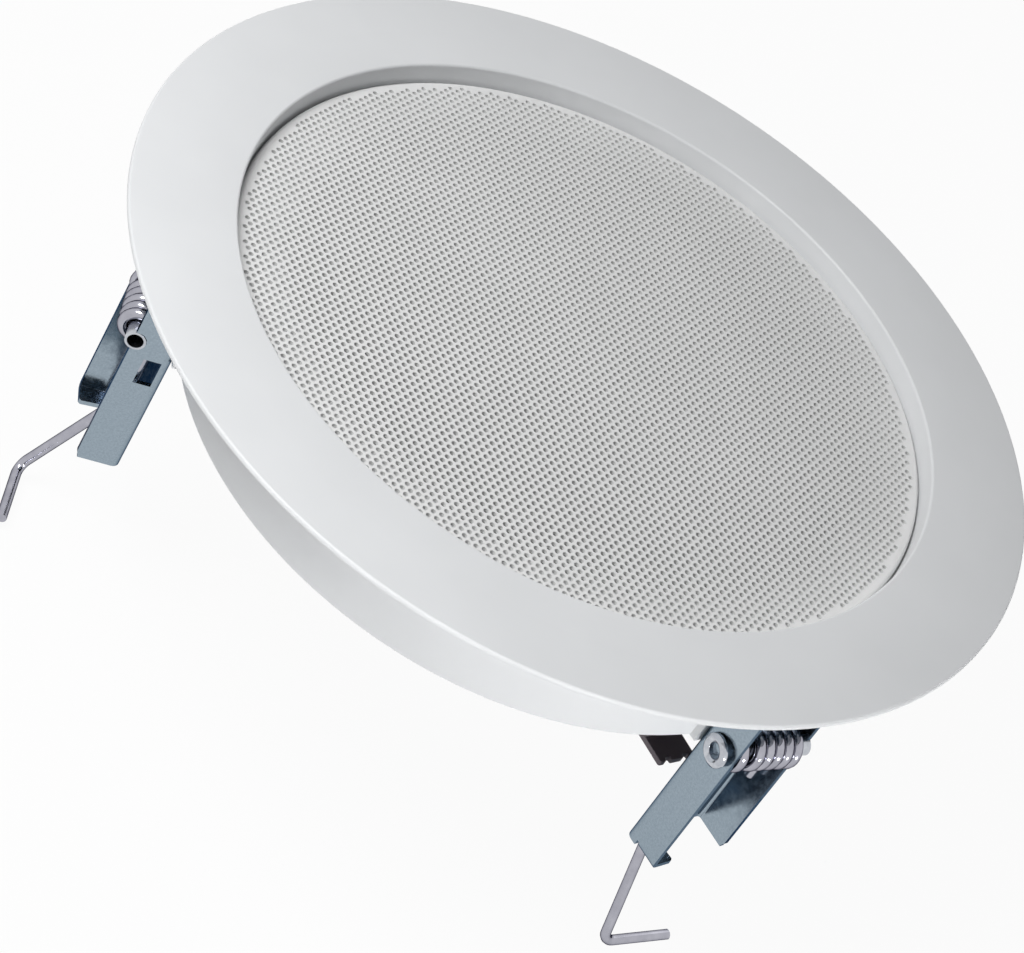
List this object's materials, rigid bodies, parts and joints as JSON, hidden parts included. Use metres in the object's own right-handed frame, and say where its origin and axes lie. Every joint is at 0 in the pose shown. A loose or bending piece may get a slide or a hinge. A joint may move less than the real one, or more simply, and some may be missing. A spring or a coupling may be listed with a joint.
{
  "type": "flush-mount speaker",
  "caption": "Flush-mount ceiling speaker: round white frame and perforated grille over a cone driver, held behind the board by sprung clips whose wire arms swing out.",
  "frame": {"origin": "on the speaker's axis, in the plane of the flange's ceiling face", "axes": "+Z along the axis, out of the front into the room; +Y through the back clip"},
  "size_m": [0.2256, 0.2256, 0.1022],
  "materials": {
    "frame_plastic": "satin white moulding",
    "grille_paint": "matt white powder coat",
    "gasket_foam": "matt foam",
    "basket_paint": "satin black",
    "surround_rubber": "matt",
    "cone_plastic": "matt dark grey",
    "spider_cloth": "treated cloth",
    "coil_former": "plain",
    "plated_steel": "zinc plated",
    "magnet_ferrite": "ground ferrite",
    "terminal_board": "plain laminate",
    "terminal_plastic": "dark moulding",
    "clip_zinc": "blue-grey zinc plated sheet",
    "spring_wire": "bright plated wire"
  },
  "bodies": {
    "speaker": {"front_frame": "frame_plastic", "grille": "grille_paint", "driver_gasket": "gasket_foam", "basket": "basket_paint", "surround": "surround_rubber", "spider": "spider_cloth", "top_plate": "plated_steel", "magnet": "magnet_ferrite", "yoke": "plated_steel", "driver_screws": "plated_steel", "terminal_strip": "terminal_board", "terminal_block": "terminal_plastic", "terminal_screw": "plated_steel", "bracket_rivets": "plated_steel", "clip_bracket_back": "clip_zinc", "clip_pin_back": "plated_steel", "spring_coil_back": "spring_wire", "clip_bracket_left": "clip_zinc", "clip_pin_left": "plated_steel", "spring_coil_left": "spring_wire", "clip_bracket_right": "clip_zinc", "clip_pin_right": "plated_steel", "spring_coil_right": "spring_wire"},
    "diaphragm": {"cone": "cone_plastic", "dust_cap": "cone_plastic", "voice_coil": "coil_former"},
    "arm_back": {"clip_arm_back": "spring_wire"},
    "arm_left": {"clip_arm_left": "spring_wire"},
    "arm_right": {"clip_arm_right": "spring_wire"}
  },
  "joints": [
    {"name": "arm_back_swing", "type": "hinge", "parent": "speaker", "child": "arm_back", "pos_m": [0.00799, 0.09605, -0.0302], "axis": [0.9848, -0.1736, 0], "range_deg": [0, 105]},
    {"name": "arm_left_swing", "type": "hinge", "parent": "speaker", "child": "arm_left", "pos_m": [-0.08718, -0.04111, -0.0302], "axis": [-0.342, 0.9397, 0], "range_deg": [0, 105]},
    {"name": "arm_right_swing", "type": "hinge", "parent": "speaker", "child": "arm_right", "pos_m": [0.07919, -0.05494, -0.0302], "axis": [-0.6428, -0.766, 0], "range_deg": [0, 105]},
    {"name": "cone_travel", "type": "slide", "parent": "speaker", "child": "diaphragm", "axis": [0, 0, 1], "range_m": [-0.003, 0.003], "stiffness_N_per_m": 2000, "deforming": ["surround", "spider"]}
  ]
}
